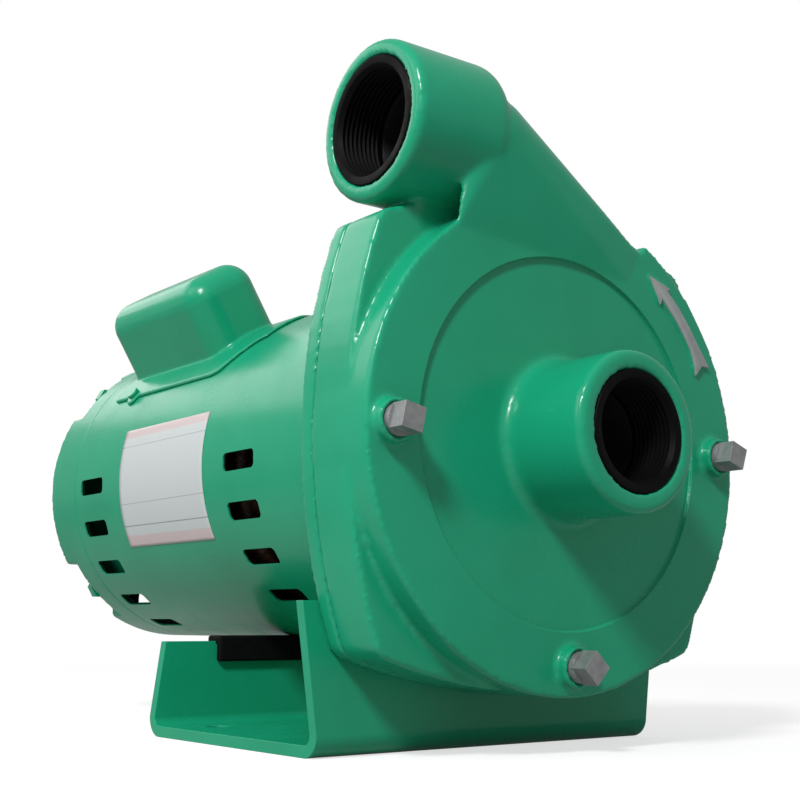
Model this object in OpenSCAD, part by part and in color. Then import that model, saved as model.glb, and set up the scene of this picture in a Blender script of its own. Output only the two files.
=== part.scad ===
// Close-coupled centrifugal pump with a capacitor-start motor on a bent steel base.
// X points right as seen from the suction side, Y points from the pump to the motor, Z points up.
// The origin is on the floor, at the centre of the foot bolt holes.

/* [Base] */
// Height of the shaft above the floor
shaft_h = 124; // [122:0.5:134]
// Length of the bent base over both end plates
base_l = 136.6; // [128:0.2:150]
// Width of the base at the floor
base_w = 182; // [172:1:196]
// Thickness of the steel plate of the base
plate_t = 4.8; // [3.5:0.1:6]
// Inside radius of the bends of the base
bend_r = 4; // [3:0.5:7]
// Extra width of the front plate at its upper corners
front_plate_flare = 14; // [8:0.5:20]
// Width lost by the rear plate at its top edge
rear_plate_taper = 9.4; // [4:0.2:16]
// Spacing of the foot bolt holes across the base
foot_pitch_x = 140; // [120:1:150]
// Spacing of the foot bolt holes along the base
foot_pitch_y = 84; // [60:1:96]
// Diameter of the foot bolt holes
foot_hole_d = 11; // [8:0.5:13]
// Length of the rubber cushion across the base
pad_l = 120; // [100:1:140]
// Height of the rubber cushion
pad_h = 12; // [10:0.5:16]
// Rubber on each side of the rear plate
pad_wall = 3.6; // [2.5:0.1:5]

/* [Casing] */
// Radius of the round volute at its smallest
volute_r = 100; // [99:0.2:101]
// Growth of the volute's outside in each quarter turn
volute_growth = 1.2; // [0.6:0.1:1.4]
// Depth of the round volute in front of the flange
volute_proud = 12.6; // [10:0.2:16]
// Half width of the rounded square flange
flange_half = 100.4; // [99.5:0.1:102]
// Radius of the bulged sides of the flange
flange_side_r = 242; // [225:1:260]
// Corner radius of the flange
flange_corner_r = 9; // [7:0.5:11]
// Thickness of the casing's flange
flange_t = 23.7; // [22:0.1:27]
// Radius of the raised front disc
disc_r = 76.1; // [72:0.1:79]
// Height of the raised front disc
disc_proud = 2.7; // [1.5:0.1:4]
// Wall thickness of the casing
casing_wall = 6; // [5:0.1:7]
// Distance of the throat line from level, round the shaft
throat_angle = 61; // [58:1:64]
// Radius of the water channel where it starts
channel_r = 86; // [84:0.2:87]
// Growth of the water channel in each quarter turn
channel_growth = 3.4; // [3:0.1:3.6]
// Radius of the opening that the back plate closes
pilot_r = 82; // [80:0.2:83]

/* [Ports] */
// Distance from the volute's face to the suction mouth
suction_len = 39.6; // [36:0.2:46]
// Outside radius of the suction boss
suction_boss_r = 32.1; // [31:0.1:34]
// Radius of the hole in the suction boss
suction_hole_r = 24.2; // [23.4:0.1:25]
// Height of the discharge above the shaft
discharge_h = 124.1; // [120:0.1:130]
// Distance of the discharge mouth from the shaft's upright plane
discharge_reach = 84.2; // [80:0.2:92]
// Distance of the discharge axis behind the volute's face
discharge_back = 22.5; // [20:0.1:25]
// Outside radius of the discharge boss
discharge_boss_r = 33; // [32:0.1:35]
// Radius of the hole in the discharge boss
discharge_hole_r = 26.3; // [25:0.1:27.2]
// Radial thickness of the black port bushes
bush_t = 4.9; // [4:0.1:5.4]
// Length of the black port bushes
bush_l = 22; // [18:0.5:26]
// Rounding of the lips of both ports
lip_r = 3; // [2:0.1:3.4]
// Radius of the circle of the three plugs
plug_circle_r = 90; // [88:0.5:91]
// Radius of the plug bosses
plug_boss_r = 8.5; // [8:0.1:10]
// Height of the plug bosses
plug_boss_h = 5.4; // [4:0.1:7]
// Width of the square heads of the plugs
plug_square = 9.6; // [8:0.1:11]

/* [Impeller] */
// Outside radius of the impeller
impeller_r = 74; // [70:0.5:75]
// Width of the impeller's outlet
impeller_outlet = 6.4; // [5:0.1:7]
// Radius of the impeller's eye
eye_r = 20; // [18:0.1:20.4]
// Number of vanes
vane_count = 6; // [5:1:7]
// Thickness of a vane
vane_t = 2.6; // [2:0.1:3.2]
// Inlet angle of a vane, from the tangent
vane_inlet_angle = 20; // [17:1:26]
// Outlet angle of a vane, from the tangent
vane_outlet_angle = 22; // [18:1:28]

/* [Adapter] */
// Thickness of the back plate between casing and motor
adapter_t = 8; // [7:0.1:10]
// Depth of the back plate's step into the casing
spigot_l = 12; // [11:0.1:13]
// Half distance between the casing bolts, across and upright
casing_bolt_half = 74.5; // [73:0.1:76]
// Diameter of the casing bolts
casing_bolt_d = 8; // [6:0.5:9]

/* [Motor] */
// Outside radius of the motor's barrel
barrel_r = 80.4; // [79.4:0.1:81.4]
// Wall of the motor's barrel
barrel_t = 1.6; // [1.2:0.1:2]
// Length of the barrel between the end bells
barrel_l = 220.1; // [210:0.5:240]
// Length of the front end bell
front_bell_l = 33.8; // [30:0.2:38]
// Length of the rear end bell to its bolt seats
rear_bell_l = 19.9; // [17:0.2:26]
// Height of the rear end bell's four lobes
lobe_l = 12.2; // [9:0.2:16]
// Half width of the rear end bell's four lobes
lobe_half = 41; // [36:0.5:44]
// Radius of the circle of the tie bolts
tie_circle_r = 75.5; // [74.5:0.1:75.9]
// Diameter of the tie bolts
tie_bolt_d = 4.8; // [4:0.1:5]
// Length of a vent slot
slot_l = 26.5; // [18:0.5:28]
// Width of a vent slot, round the barrel
slot_w = 8.4; // [6:0.1:10]
// Vent slots in each row on each side
slot_count = 5; // [3:1:5]
// Angle between vent slots
slot_pitch = 16; // [13:0.1:16.4]
// Shaft radius at the bearings
shaft_r = 8.5; // [8.2:0.1:9]
// Outside radius of the bearings
bearing_r = 20; // [19.6:0.1:20.6]
// Width of the bearings
bearing_w = 12; // [11:0.1:13]
// Radius of the bearing balls
ball_r = 3.37; // [3.2:0.01:3.5]
// Balls in each bearing
ball_count = 8; // [7:1:8]
// Radius of the rotor
rotor_r = 40; // [37:0.5:42]
// Length of the stator and rotor cores
core_l = 80; // [70:1:86]
// Length of the windings outside the core
winding_l = 23; // [18:0.5:25]
// Blades of the motor's fan
fan_blades = 9; // [7:1:11]

/* [Capacitor] */
// Angle of the capacitor cover round the shaft, from level
cover_angle = 121.4; // [118:0.2:124]
// Width of the capacitor cover
cover_w = 41; // [39:0.5:44]
// Length of the capacitor cover
cover_l = 99; // [94:0.5:104]
// Distance from the shaft to the cover's top
cover_top = 118.6; // [117:0.2:122]
// Distance from the front of the barrel to the capacitor cover
cover_start = 102.4; // [98:0.2:106]
// Rounding of the capacitor cover
cover_round = 13; // [9:0.5:14]
// Thickness of the capacitor cover
cover_t = 1.6; // [1.2:0.1:1.8]
// Width of the cover's brim on the barrel
brim = 14; // [12:0.2:16]

/* [Hidden] */
$fn = 96;

// Clearances
fit = 0.1;
run = 0.05;
seat_gap = 0.05;
adapter_gap = 0.6;
past = 1;
whole = 900;

// Stations along the shaft
y_plate = -base_l / 2;
y_seam = y_plate - adapter_t;
y_flange = y_seam - flange_t;
y_face = y_flange - volute_proud;
y_disc = y_face - disc_proud;
y_mouth = y_face - suction_len;
y_channel = y_face + casing_wall;
y_spigot = y_seam - spigot_l;
y_barrel = y_plate + front_bell_l;
y_barrel_end = y_barrel + barrel_l;
y_bolt_seat = y_barrel_end + rear_bell_l;
y_rear = y_bolt_seat + lobe_l;

// Casing
volute_max_r = volute_r + 3 * volute_growth;
channel_max_r = channel_r + 3 * channel_growth;
throat_in_r = impeller_r + 4;
y_discharge = y_face + discharge_back;
boss_end_x = -34;
nozzle_end_r = discharge_boss_r - 6;
nozzle_turn_x = boss_end_x - 5;
throat_round_r = 12.2;
throat_inset = 4;
way_extra = 0.35;
boss_end_r = 8;
discharge_bore_r = discharge_hole_r - bush_t;
suction_bore_r = suction_hole_r - bush_t;
suction_way_r = suction_bore_r + way_extra;
discharge_way_r = discharge_bore_r + way_extra;
plug_r = 6.3;
plug_head_h = 7;
plug_collar_h = 2;
arrow_h = 1.4;

// Flange outline: each side is an arc, and each corner an arc that touches both sides
flange_c = flange_side_r - flange_half;
corner_reach = flange_side_r - flange_corner_r;
corner_x = (sqrt(2 * corner_reach * corner_reach - flange_c * flange_c) - flange_c) / 2;
corner_angle = atan2(corner_x, corner_x + flange_c);

// Impeller
back_gap = 2;
shroud_t = 2.6;
neck_t = 4;
y_back = y_spigot - back_gap;
y_back_in = y_back - shroud_t;
y_front_in = y_back_in - impeller_outlet;
y_front_out = y_front_in - shroud_t;
y_neck_in = y_front_in - 4;
y_neck_root = y_neck_in - shroud_t;
eye_bore_r = eye_r + neck_t + 0.3;
y_eye_step = y_disc + 4;
y_neck_tip = y_eye_step + 0.5;
y_chamber = y_neck_root - 1.5;
hub_r = 13;
pump_shaft_r = 7.9;
nut_thread_r = 5;
nut_h = 8;
y_nut_seat = y_back_in - 6;
key_w = 4;
key_l = 8;
vane_in_r = eye_r + 2;
vane_arc_r = (pow(impeller_r, 2) - pow(vane_in_r, 2))
    / (2 * (impeller_r * cos(vane_outlet_angle) - vane_in_r * cos(vane_inlet_angle)));
vane_centre = sqrt(pow(vane_arc_r, 2) + pow(impeller_r, 2)
    - 2 * vane_arc_r * impeller_r * cos(vane_outlet_angle));

// Shaft seal
seal_cavity_r = 18;
seat_r = 16;
cup_t = 1.5;
seat_h = 6;
y_seat = y_plate - 2 - cup_t - seat_h;
head_h = 5.5;
seal_head_r = 14.5;
y_head = y_seat - head_h;
spring_r = 12;
spring_wire_r = 0.9;
spring_turns = 3;
shaft_hole_r = 9.6;

// Fasteners
thread_depth = 10;
bolt_head_h = 5.3;
bolt_head_w = 13;
casing_bolt_r = casing_bolt_d / 2;
tie_bolt_r = tie_bolt_d / 2;
tie_head_h = 5;
tie_head_w = 11;
tie_depth = 9;
o_ring_r = 1.5;
o_ring_circle = pilot_r + fit - o_ring_r - seat_gap;
y_o_ring = y_seam - spigot_l / 2;

// Base
ear_margin = 10;
plate_gap = 1.7;
front_plate_h = shaft_h - casing_bolt_half + ear_margin;
rear_plate_h = shaft_h - barrel_r - 1.2;
pad_top = rear_plate_h + 2.6;
pad_seat = pad_top - 4;
corner_bend = bend_r + plate_t;

// Motor
bell_wall = 4;
spigot_wall = 3;
barrel_in_r = barrel_r - barrel_t;
bell_in_r = barrel_in_r - spigot_wall;
bell_step = 4;
web_t = 5;
hub_wall = 6;
hub_out_r = bearing_r + hub_wall;
washer_t = 2.2;
y_front_web = y_plate + 5;
y_front_pocket = y_front_web + 4;
y_front_bearing = y_front_pocket + washer_t;
y_rear_bearing = y_bolt_seat - 12;
rear_hub_l = bearing_w + 3;
slot_margin = 34;
slot_round = 2.4;
slot_first = 181.3;
y_core = y_barrel + (barrel_l - core_l) / 2 + 12;
y_core_end = y_core + core_l;
winding_in_r = rotor_r + 6;
winding_out_r = bell_in_r - 3;
air_gap = 0.4;
shaft_core_r = shaft_r + 2.5;
fan_r = 64;
fan_w = 22;
y_fan = y_core - winding_l - 8 - fan_w;
ring_l = 8;
ring_blade_l = 7;
y_governor = y_core_end + winding_l + 5;
governor_l = 14;
spool_travel = 2.5;
spool_l = 10;
y_spool = y_governor + governor_l + spool_travel + 1;
race_t = 3.6;
pitch_r = (shaft_r + bearing_r) / 2;
y_board = y_barrel_end + 3;
board_t = 3;
board_h = 22;
board_half = 23;
terminal_step = 9;
post_r = 3;
post_out = 42;
end_cap_r = 14;

// Capacitor
capacitor_gap = 0.15;
capacitor_r = (cover_top - cover_t - barrel_r) / 2 - 0.7;
capacitor_l = cover_l - 2 * (cover_round - 1);
capacitor_h = cover_top - cover_t - capacitor_r - capacitor_gap;
y_cover = y_barrel + cover_start;
brim_half = cover_w / 2 + brim;
ear_r = 5.5;
ear_from_end = 22;
cover_screw_x = brim_half - 1.5;
cover_screw_angle = asin(cover_screw_x / (barrel_r + cover_t));

green = [0.14, 0.60, 0.43];
iron = [0.36, 0.37, 0.38];
steel = [0.66, 0.68, 0.70];
black = [0.06, 0.06, 0.07];
plug_grey = [0.55, 0.55, 0.56];

// A profile of [radius, station] points turned round the shaft
module turned(points) {
    translate([0, 0, shaft_h]) rotate([-90, 0, 0]) rotate_extrude() polygon(points);
}

// A flat outline, drawn as seen from the suction side, between two stations
module between(y0, y1) {
    translate([0, y1, shaft_h]) rotate([90, 0, 0]) linear_extrude(y1 - y0) children();
}

// A round bar along the shaft's direction, placed by its distance across and above the shaft
module bar(x, z, y0, y1, r) {
    translate([x, y0, shaft_h + z]) rotate([-90, 0, 0]) cylinder(r = r, h = y1 - y0);
}

// A hexagon along the shaft's direction
module hex_bar(x, z, y0, y1, across) {
    translate([x, y0, shaft_h + z]) rotate([-90, 0, 0]) cylinder(d = across / cos(30), h = y1 - y0, $fn = 6);
}

module tube(y0, y1, r_in, r_out) {
    turned([[r_in, y0], [r_out, y0], [r_out, y1], [r_in, y1]]);
}

module round_rect(l, w, r) {
    square([l - 2 * r, w], center = true);
    square([l, w - 2 * r], center = true);
    for (x = [-1, 1], y = [-1, 1]) translate([x * (l / 2 - r), y * (w / 2 - r)]) circle(r, $fn = 24);
}

// Copies at the four corners of a square round the shaft
module at_corners(half) {
    for (sx = [-1, 1], sz = [-1, 1]) translate([sx * half, 0, sz * half]) children();
}

// A spiral of four quarter circles, each wider than the last, that starts at the throat
module four_centres(r, growth) {
    rotate(throat_angle) for (k = [0:3])
        intersection() {
            rotate(90 * k) translate([-growth / 2, growth / 2]) circle(r + k * growth);
            rotate(90 * k) translate([-growth / 2, growth / 2]) square(2 * volute_max_r);
        }
    circle(r / 2);
}

// The rounded square of the flange, or the same outline moved outwards by a margin
module flange_outline(grow = 0) {
    side = [for (s = [-1:0.125:1]) (flange_side_r + grow) * [cos(s * corner_angle), sin(s * corner_angle)]
        - [flange_c, 0]];
    corner = [for (s = [0.1:0.1:0.95]) let (a = corner_angle + s * (90 - 2 * corner_angle))
        [corner_x, corner_x] + (flange_corner_r + grow) * [cos(a), sin(a)]];
    quarter = concat(side, corner);
    polygon([for (k = [0:3]) for (q = quarter)
        [q[0] * cos(90 * k) - q[1] * sin(90 * k), q[0] * sin(90 * k) + q[1] * cos(90 * k)]]);
}

// Discharge boss with a rounded lip and a rounded closed end
module discharge_boss(r, lip, end_round, x0, x1) {
    translate([x0, y_discharge, shaft_h + discharge_h]) rotate([0, 90, 0]) rotate_extrude() {
        translate([0, lip]) square([r, x1 - x0 - lip - end_round]);
        square([r - lip, lip + past]);
        translate([r - lip, lip]) circle(lip, $fn = 48);
        translate([0, x1 - x0 - end_round - past]) square([r - end_round, end_round + past]);
        translate([r - end_round, x1 - x0 - end_round]) circle(end_round, $fn = 48);
    }
}

// A thin plate across the water's way at the throat, from one radius to another
module throat_plate(r0, r1, y0, y1, t) {
    translate([0, 0, shaft_h]) rotate([0, -throat_angle, 0]) translate([r0, y0, 0]) cube([r1 - r0, y1 - y0, t]);
}

// The cone from the volute's throat to the ball inside the discharge boss
module nozzle_outside() {
    hull() {
        translate([0, 0, shaft_h]) rotate([0, -throat_angle, 0])
            translate([volute_max_r - throat_round_r, y_face + throat_round_r + 0.3, 0])
                cylinder(r = throat_round_r, h = 0.5, $fn = 64);
        translate([boss_end_x - 4, y_discharge, shaft_h + discharge_h]) sphere(nozzle_end_r, $fn = 64);
    }
}

module nozzle_inside() {
    hull() {
        throat_plate(throat_in_r, channel_max_r, y_channel, y_spigot - throat_inset, 0.5);
        translate([nozzle_turn_x, y_discharge - 2, shaft_h + discharge_h]) sphere(discharge_bore_r - 3, $fn = 32);
    }
}

module suction_boss() {
    root = 4;
    turned([[0, y_mouth], [suction_boss_r - lip_r, y_mouth],
        each [for (a = [15:15:90])
            [suction_boss_r - lip_r + lip_r * sin(a), y_mouth + lip_r - lip_r * cos(a)]],
        each [for (a = [0:15:90])
            [suction_boss_r + root - root * cos(a), y_disc - root + root * sin(a)]],
        [suction_boss_r + root, y_disc + past], [0, y_disc + past]]);
}

module at_plugs() {
    for (a = [180, 270, 0]) translate([plug_circle_r * cos(a), 0, plug_circle_r * sin(a)]) children();
}

// The raised arrow, as [radius, angle] points along its outer and its inner edge
module rotation_arrow() {
    outer = [[97.2, 48.8], [95.1, 49.3], [95.1, 43], [95.1, 37], [95.2, 32], [96.1, 28], [97.2, 24.6]];
    inner = [[92.8, 26], [87.4, 24.6], [88.7, 28], [89.7, 32], [89.7, 37], [89.7, 43], [89.7, 49.3], [87.2, 48.8]];
    between(y_face - arrow_h, y_face + past)
        polygon([for (p = concat([[92.4, 56.8]], outer, inner)) p[0] * [cos(p[1]), sin(p[1])]]);
}

module casing() {
    color(green) difference() {
        union() {
            between(y_face, y_seam) four_centres(volute_r, volute_growth);
            between(y_flange, y_seam) flange_outline();
            turned([[0, y_disc], [disc_r - 2, y_disc], [disc_r, y_face], [disc_r, y_face + past],
                [0, y_face + past]]);
            suction_boss();
            at_plugs() bar(0, 0, y_face - plug_boss_h, y_face + past, plug_boss_r);
            discharge_boss(discharge_boss_r, lip_r, boss_end_r, -discharge_reach, boss_end_x);
            nozzle_outside();
            rotation_arrow();
        }
        between(y_channel, y_spigot) four_centres(channel_r, channel_growth);
        tube(y_spigot - past, y_seam + past, 0, pilot_r + fit);
        tube(y_chamber, y_spigot, 0, pilot_r);
        tube(y_eye_step, y_chamber + past, 0, eye_bore_r);
        tube(y_mouth - past, y_eye_step + past, 0, suction_way_r);
        tube(y_mouth - past, y_mouth + bush_l, 0, suction_hole_r);
        nozzle_inside();
        between(y_seam, y_plate + past) flange_outline(adapter_gap);
        translate([-discharge_reach - past, y_discharge, shaft_h + discharge_h]) rotate([0, 90, 0]) {
            cylinder(r = discharge_hole_r, h = bush_l + past);
            cylinder(r = discharge_way_r, h = discharge_reach + nozzle_turn_x + past);
        }
        at_plugs() bar(0, 0, y_face - plug_boss_h - past, y_channel + past, plug_r + seat_gap);
        at_corners(casing_bolt_half) bar(0, 0, y_seam - thread_depth - 2, y_seam + past, casing_bolt_r + seat_gap);
    }
}

module suction_port_bush() {
    color(black) tube(y_mouth + 0.2, y_mouth + bush_l, suction_bore_r, suction_hole_r - seat_gap);
}

module discharge_port_bush() {
    color(black) translate([-discharge_reach + 0.2, y_discharge, shaft_h + discharge_h]) rotate([0, 90, 0])
        difference() {
            cylinder(r = discharge_hole_r - seat_gap, h = bush_l - 0.2);
            translate([0, 0, -past]) cylinder(r = discharge_bore_r, h = bush_l + 2 * past);
        }
}

module pipe_plugs() {
    turns = [12, 45, 20];
    y_boss = y_face - plug_boss_h;
    color(plug_grey) for (k = [0:2]) {
        a = [180, 270, 0][k];
        translate([plug_circle_r * cos(a), 0, plug_circle_r * sin(a)]) {
            bar(0, 0, y_boss - plug_collar_h, y_channel, plug_r);
            translate([0, y_boss - plug_collar_h - plug_head_h, shaft_h]) rotate([0, turns[k], 0])
                translate([-plug_square / 2, 0, -plug_square / 2])
                    cube([plug_square, plug_head_h + past, plug_square]);
        }
    }
}

// One backward-curved vane: a stretch of a ring on one side of its centre line
module vane() {
    intersection() {
        translate([vane_centre, 0]) difference() {
            circle(vane_arc_r + vane_t / 2);
            circle(vane_arc_r - vane_t / 2);
        }
        translate([-2 * impeller_r, 0]) square([4 * impeller_r, 2 * impeller_r]);
        difference() {
            circle(impeller_r - 0.4);
            circle(vane_in_r);
        }
    }
}

module impeller() {
    color([0.72, 0.53, 0.25]) difference() {
        union() {
            tube(y_back_in, y_back, 0, impeller_r);
            turned([[0, y_nut_seat], [hub_r - 3, y_nut_seat], [hub_r, y_nut_seat + 3], [hub_r + 4, y_back_in],
                [hub_r + 4, y_back_in + past], [0, y_back_in + past]]);
            turned([[eye_r, y_neck_tip], [eye_r + neck_t, y_neck_tip], [eye_r + neck_t, y_neck_root],
                [impeller_r, y_front_out], [impeller_r, y_front_in], [eye_r + 6, y_neck_in], [eye_r, y_neck_in - 2]]);
            intersection() {
                between(y_neck_in - 1, y_back_in + past) for (k = [0:vane_count - 1])
                    rotate(360 * k / vane_count) vane();
                turned([[eye_r, y_back], [impeller_r + 1, y_back], [impeller_r + 1, y_front_in - shroud_t / 2],
                    [eye_r + 6, y_neck_in - shroud_t / 2], [eye_r, y_neck_in - 1]]);
            }
        }
        tube(y_nut_seat - past, y_back + past, 0, pump_shaft_r + seat_gap);
        translate([-key_w / 2, y_back - key_l, shaft_h]) cube([key_w, key_l + past, pump_shaft_r + 2]);
    }
}

module impeller_nut() {
    color(steel) difference() {
        union() {
            hex_bar(0, 0, y_nut_seat - nut_h + 2, y_nut_seat - 0.1, 14);
            translate([0, y_nut_seat - nut_h + 2.5, shaft_h]) sphere(6.2, $fn = 48);
        }
        tube(y_nut_seat - nut_h + 2, y_nut_seat + past, 0, nut_thread_r);
    }
}

module impeller_key() {
    depth = 2;
    color(steel) translate([-key_w / 2 + seat_gap, y_back - key_l + seat_gap, shaft_h + pump_shaft_r - depth])
        cube([key_w - 2 * seat_gap, key_l - 2 * seat_gap, 2 * depth - 0.1]);
}

// A round wire wound round the shaft, as one swept tube
module coil(r, wire, y0, y1, turns, sides, steps) {
    count = turns * steps;
    ring = [for (i = [0:count], s = [0:sides - 1])
        let (a = 360 * i / steps, b = 360 * s / sides, rr = r + wire * cos(b))
            [rr * cos(a), y0 + wire + (y1 - y0 - 2 * wire) * i / count + wire * sin(b), shaft_h + rr * sin(a)]];
    walls = [for (i = [0:count - 1], s = [0:sides - 1])
        let (n = (s + 1) % sides)
            [i * sides + s, i * sides + n, (i + 1) * sides + n, (i + 1) * sides + s]];
    ends = [[for (s = [sides - 1:-1:0]) s], [for (s = [0:sides - 1]) count * sides + s]];
    polyhedron(ring, concat(walls, ends));
}

module seal_spring() {
    color(steel) coil(spring_r, spring_wire_r, y_back + 0.1, y_head - 0.1, spring_turns, 8, 20);
}

module seal_head() {
    color([0.20, 0.20, 0.22]) {
        turned([[pump_shaft_r + seat_gap, y_head], [seal_head_r, y_head], [seal_head_r, y_seat - 2],
            [seal_head_r - 2, y_seat - 2], [seal_head_r - 2, y_seat - run], [pump_shaft_r + 2, y_seat - run],
            [pump_shaft_r + 2, y_seat - 2], [pump_shaft_r + seat_gap, y_seat - 2]]);
    }
}

module seal_seat() {
    color([0.90, 0.89, 0.85]) tube(y_seat, y_seat + seat_h, shaft_hole_r, seat_r - cup_t - seat_gap);
}

module seal_cup() {
    color(black) turned([[seat_r - cup_t, y_seat + 1], [seat_r, y_seat + 1], [seat_r, y_seat + seat_h + cup_t],
        [shaft_hole_r, y_seat + seat_h + cup_t], [shaft_hole_r, y_seat + seat_h + seat_gap],
        [seat_r - cup_t, y_seat + seat_h + seat_gap]]);
}

module casing_o_ring() {
    color(black) translate([0, y_o_ring, shaft_h]) rotate([-90, 0, 0]) rotate_extrude()
        translate([o_ring_circle, 0]) circle(o_ring_r - seat_gap, $fn = 24);
}

module adapter() {
    slinger_recess = 3;
    color(green) difference() {
        union() {
            between(y_seam, y_plate) flange_outline();
            tube(y_spigot, y_seam + past, 0, pilot_r);
        }
        tube(y_spigot - past, y_seat, 0, seal_cavity_r);
        tube(y_seat - past, y_seat + seat_h + cup_t, 0, seat_r + seat_gap);
        tube(y_seat, y_plate + past, 0, shaft_hole_r);
        tube(y_plate - slinger_recess + 1.5, y_plate + past, 0, seal_cavity_r + 2);
        tube(y_o_ring - o_ring_r - 0.3, y_o_ring + o_ring_r + 0.3, o_ring_circle - o_ring_r, pilot_r + past);
        at_corners(casing_bolt_half) bar(0, 0, y_seam - past, y_plate + past, casing_bolt_r + 0.3);
        at_corners(tie_circle_r / sqrt(2)) bar(0, 0, y_plate - tie_depth - 1, y_plate + past, tie_bolt_r + seat_gap);
    }
}

// Hexagon-head bolts that reach from their seat into the casing's threads
module casing_bolt_pair(sz, y_seat_face) {
    for (sx = [-1, 1]) {
        bar(sx * casing_bolt_half, sz * casing_bolt_half, y_seam - thread_depth, y_seat_face, casing_bolt_r);
        hex_bar(sx * casing_bolt_half, sz * casing_bolt_half, y_seat_face, y_seat_face + bolt_head_h, bolt_head_w);
    }
}

module upper_casing_bolts() {
    color(steel) casing_bolt_pair(1, y_plate);
}

module lower_casing_bolts() {
    color(steel) casing_bolt_pair(-1, y_plate + plate_t);
}

module bend(sy) {
    translate([0, sy * (base_l / 2 - corner_bend), corner_bend]) rotate([0, 90, 0])
        linear_extrude(base_w, center = true) intersection() {
            difference() {
                circle(corner_bend);
                circle(bend_r);
            }
            translate([0, sy > 0 ? 0 : -corner_bend]) square(corner_bend);
        }
}

module base() {
    color(green) difference() {
        union() {
            translate([-base_w / 2, -base_l / 2 + corner_bend, 0])
                cube([base_w, base_l - 2 * corner_bend, plate_t]);
            bend(-1);
            bend(1);
            translate([0, y_plate + plate_t, 0]) rotate([90, 0, 0]) linear_extrude(plate_t)
                polygon([[-base_w / 2, corner_bend], [base_w / 2, corner_bend],
                    [(base_w + front_plate_flare) / 2, front_plate_h],
                    [-(base_w + front_plate_flare) / 2, front_plate_h]]);
            translate([0, base_l / 2, 0]) rotate([90, 0, 0]) linear_extrude(plate_t)
                polygon([[-base_w / 2, corner_bend], [base_w / 2, corner_bend],
                    [(base_w - rear_plate_taper) / 2, rear_plate_h],
                    [-(base_w - rear_plate_taper) / 2, rear_plate_h]]);
        }
        tube(y_plate - past, y_plate + plate_t + past, 0, barrel_r + plate_gap);
        translate([-pad_l / 2 - fit, base_l / 2 - plate_t - past, pad_seat])
            cube([pad_l + 2 * fit, plate_t + 2 * past, pad_h]);
        for (sx = [-1, 1]) {
            bar(sx * casing_bolt_half, -casing_bolt_half, y_plate - past, y_plate + plate_t + past,
                casing_bolt_r + 0.3);
            for (sy = [-1, 1]) translate([sx * foot_pitch_x / 2, sy * foot_pitch_y / 2, -past])
                cylinder(d = foot_hole_d, h = plate_t + 2 * past);
        }
    }
}

module rubber_cushion() {
    y_mid = base_l / 2 - plate_t / 2;
    depth = plate_t + 2 * pad_wall;
    color(black) difference() {
        translate([-pad_l / 2, y_mid - depth / 2, pad_top - pad_h]) cube([pad_l, depth, pad_h]);
        translate([-pad_l / 2 - past, y_mid - plate_t / 2 - seat_gap, pad_top - pad_h - past])
            cube([pad_l + 2 * past, plate_t + 2 * seat_gap, pad_seat - pad_top + pad_h + past + seat_gap]);
        tube(y_mid - depth, y_mid + depth, 0, barrel_r + seat_gap);
    }
}

// Bosses for the tie bolts, kept inside the barrel's line
module tie_bosses(y0, y1) {
    intersection() {
        at_corners(tie_circle_r / sqrt(2)) bar(0, 0, y0, y1, 6.5);
        tube(y0, y1, 0, bell_in_r + spigot_wall - seat_gap);
    }
}

module tie_holes(y0, y1) {
    at_corners(tie_circle_r / sqrt(2)) bar(0, 0, y0, y1, tie_bolt_r + 0.3);
}

module front_end_bell() {
    ribs = 6;
    color(green) difference() {
        union() {
            tube(y_plate, y_barrel, barrel_r - bell_wall - barrel_t, barrel_r);
            tube(y_barrel - past, y_barrel + bell_step, bell_in_r, barrel_in_r - seat_gap);
            tube(y_front_web, y_front_web + web_t, shaft_hole_r, barrel_r - 2);
            tube(y_front_web, y_front_bearing + bearing_w, shaft_hole_r, hub_out_r);
            tie_bosses(y_plate, y_barrel);
            for (k = [0:ribs - 1]) translate([0, 0, shaft_h]) rotate([0, 30 + 360 * k / ribs, 0])
                translate([hub_out_r - 2, y_front_web, -2]) cube([bell_in_r - hub_out_r + 3, web_t + 8, 4]);
        }
        tube(y_front_pocket, y_front_bearing + bearing_w + past, 0, bearing_r + seat_gap);
        tie_holes(y_plate - past, y_barrel + bell_step + past);
    }
}

// Tools that cut one row of vent slots on both sides of the barrel
module slot_row(y_mid) {
    for (k = [0:slot_count - 1], side = [0, 1]) {
        a = slot_first + k * slot_pitch;
        translate([0, y_mid, shaft_h]) rotate([0, side == 0 ? -a : a - 180, 0])
            translate([barrel_r - 8, 0, 0]) rotate([90, 0, 90]) linear_extrude(16)
                rotate(90) round_rect(slot_w, slot_l, slot_round);
    }
}

module motor_barrel() {
    color(green) difference() {
        tube(y_barrel, y_barrel_end, barrel_in_r, barrel_r);
        slot_row(y_barrel + slot_margin + slot_l / 2);
        slot_row(y_barrel_end - slot_margin + slot_l / 2);
    }
}

module lobes(half, r) {
    intersection() {
        circle(r);
        union() {
            square([3 * r, 2 * half], center = true);
            square([2 * half, 3 * r], center = true);
        }
    }
}

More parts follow.
